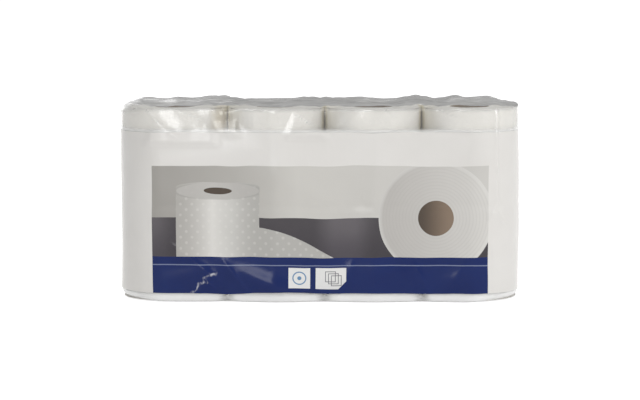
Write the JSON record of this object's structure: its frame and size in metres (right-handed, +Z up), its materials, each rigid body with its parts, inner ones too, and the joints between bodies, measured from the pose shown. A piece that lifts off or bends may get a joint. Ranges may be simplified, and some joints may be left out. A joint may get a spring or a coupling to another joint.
{
  "type": "toilet paper roll pack",
  "caption": "Pack of toilet paper rolls standing on end, wrapped in clear film with a printed front.",
  "frame": {"origin": "centre of the base, on the surface that the pack stands on", "axes": "+X along the row of rolls, towards the right end seen from the printed front; +Y from the printed front to the back; +Z up"},
  "size_m": [0.4044, 0.0998, 0.1979],
  "materials": {
    "film": "clear gloss film",
    "tissue": "soft matt",
    "card": "matt",
    "white_ink": "gloss print on film",
    "blue_ink": "gloss print on film",
    "grey_ink": "gloss print on film",
    "dark_ink": "gloss print on film",
    "pale_ink": "gloss print on film",
    "brown_ink": "gloss print on film"
  },
  "bodies": {
    "root": {"film_wrap": "film", "lower_rolls": "tissue", "upper_rolls": "tissue", "card_cores": "card", "print_title_field": "white_ink", "print_picture_wall": "grey_ink", "print_picture_ground": "dark_ink", "print_picture_paper": "pale_ink", "print_picture_cores": "brown_ink", "print_blue_band": "blue_ink", "print_band_tiles": "white_ink"}
  },
  "joints": []
}
